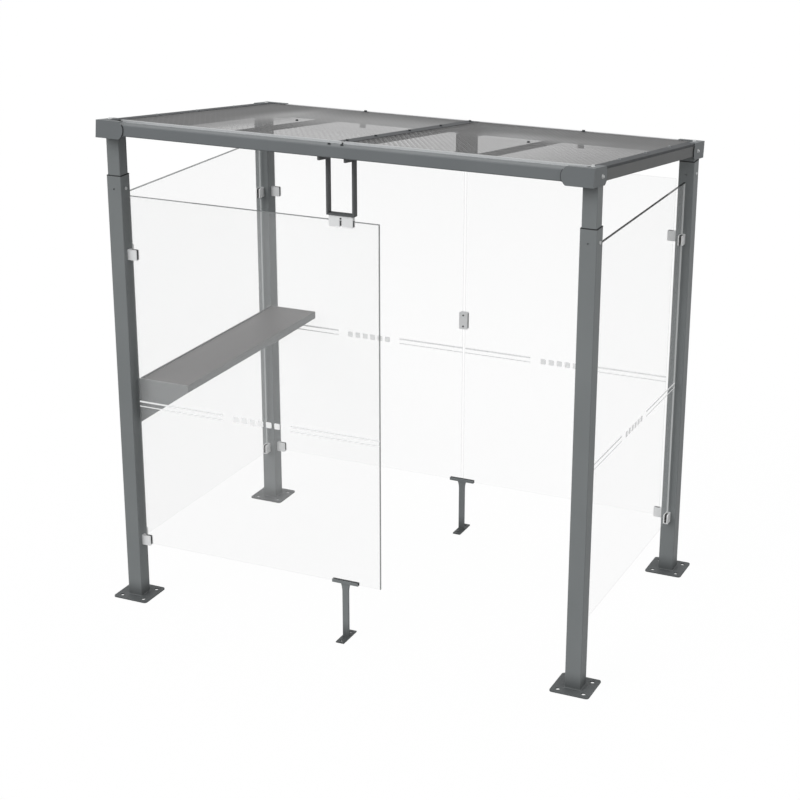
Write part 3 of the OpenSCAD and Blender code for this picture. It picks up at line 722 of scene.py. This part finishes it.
shadeLipPlaces = []
for side in (-1, 1):
    frontX = side * (roof["halfWidth"] - shadeLip["frontTip"] + shadeLip["round"])
    for v, turn in ((0, 0), (roof["length"], math.pi)):
        outward = Matrix.Rotation(turn, 4, "Z")
        tipward = Matrix.Rotation(0 if (side < 0) == (turn == 0) else math.pi, 4, "Y")
        shadeLipPlaces.append(onRoof(frontX, v, shadeLip["middle"]) @ outward @ tipward)
    sideV = shadeLip["sideTip"] - shadeLip["round"]
    for v, toBack in ((sideV, True), (roof["length"] - sideV, False)):
        outward = Matrix.Rotation(side * quarter, 4, "Z")
        tipward = Matrix.Rotation(0 if toBack == (side > 0) else math.pi, 4, "Y")
        shadeLipPlaces.append(onRoof(side * roof["halfWidth"], v, shadeLip["middle"]) @ outward @ tipward)
placeCopies(modelCapShadeLip(), "capShadeLips", shadeLipPlaces, sealRubber)
print("cap plugs placed")


# rounded folds where the shelf's top turns down into its end plates, given a paler grey as a painted
# highlight

fold = {"round": 2 * mm, "sides": 12, "sunk": 0.5 * mm, "inset": 4 * mm, "upstand": 6 * mm, "depth": 249 * mm,
        "endInset": 0.3, "endCrown": 0.4}
shelfLow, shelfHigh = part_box("shelf")


def shelfFold(y):
    clearSelection()
    bpy.ops.mesh.primitive_cylinder_add(
        vertices=fold["sides"], radius=fold["round"], depth=fold["depth"] - 2 * fold["inset"],
        rotation=(0, quarter, 0),
        location=(shelfHigh.x - fold["depth"] / 2, y, shelfHigh.z - fold["upstand"] - fold["sunk"]))
    bead = startPiece("fold")
    settle(bead)
    pickFaces(bead, lambda face: abs(face.normal.x) > squareTo)
    bpy.ops.mesh.inset(thickness=fold["round"] * fold["endInset"], depth=fold["round"] * fold["endCrown"])
    leaveEdit()
    return bead


folds = [shelfFold(y) for y in (shelfLow.y + fold["sunk"], shelfHigh.y - fold["sunk"])]
finishPiece(joinPieces(folds, "shelfFolds"), foldHighlightCoat)
print("folds laid")


# floor, light and camera

floorLook = {"size": 60, "shade": "#6e6e6e", "glow": 0.75, "strength": 1.28, "mirrored": 0.5}
bpy.ops.mesh.primitive_plane_add(size=floorLook["size"])
floor = startPiece("floor")
floorMaterial, tree = newMaterial("paleFloor")
path = addNode(tree, "ShaderNodeLightPath")
seen = addMath(tree, "MAXIMUM", (path, "Is Camera Ray"), (path, "Is Transmission Ray"))
mirrored = addMath(tree, "MULTIPLY", (path, "Is Glossy Ray"), floorLook["mirrored"])
shown = addMath(tree, "MAXIMUM", seen, mirrored)
glowShare = addMath(tree, "MULTIPLY", shown, floorLook["glow"])
matt = addNode(tree, "ShaderNodeBsdfDiffuse", {"Color": linearColor(floorLook["shade"])})
glow = addNode(tree, "ShaderNodeEmission", {"Color": white, "Strength": floorLook["strength"]})
mixed = addNode(tree, "ShaderNodeMixShader", {}, {0: glowShare, 1: (matt, "BSDF"), 2: (glow, "Emission")})
addNode(tree, "ShaderNodeOutputMaterial", {}, {"Surface": (mixed, "Shader")})
floor.data.materials.append(floorMaterial)

worldLook = {"ambient": 0.9, "mirrored": 0.7}
world = bpy.data.worlds.new("studio")
bpy.context.scene.world = world
world.use_nodes = True
tree = world.node_tree
tree.nodes.clear()
path = addNode(tree, "ShaderNodeLightPath")
seen = addMath(tree, "MAXIMUM", (path, "Is Camera Ray"), (path, "Is Transmission Ray"))
mirrored = addRamp(tree, (path, "Is Glossy Ray"), low=worldLook["ambient"], high=worldLook["mirrored"])
level = addMath(tree, "MAXIMUM", seen, mirrored)
sky = addNode(tree, "ShaderNodeBackground", {"Color": white}, {"Strength": level})
addNode(tree, "ShaderNodeOutputWorld", {}, {"Surface": (sky, "Background")})

keyLight = {"place": (-3, -5, 8), "toward": Vector((-0.35, -0.75, 0.55)), "strength": 1.0,
            "spread": math.radians(40)}
bpy.ops.object.light_add(type="SUN", location=keyLight["place"])
key = bpy.context.object
key.name = "keyLight"
key.data.energy = keyLight["strength"]
key.data.angle = keyLight["spread"]
key.rotation_euler = keyLight["toward"].to_track_quat("Z", "Y").to_euler()

cameraSpot = {"place": (3.447, -7.521, 3.916), "forward": Vector((-0.3957, 0.8534, -0.3392)),
              "lens": 84.1, "sensor": 36}
bpy.ops.object.camera_add(location=cameraSpot["place"])
camera = bpy.context.object
camera.name = "photoCamera"
camera.rotation_euler = cameraSpot["forward"].to_track_quat("-Z", "Y").to_euler()
camera.data.lens = cameraSpot["lens"]
camera.data.sensor_width = cameraSpot["sensor"]
bpy.context.scene.camera = camera
bpy.context.scene.view_settings.view_transform = "Standard"
print("stage set")
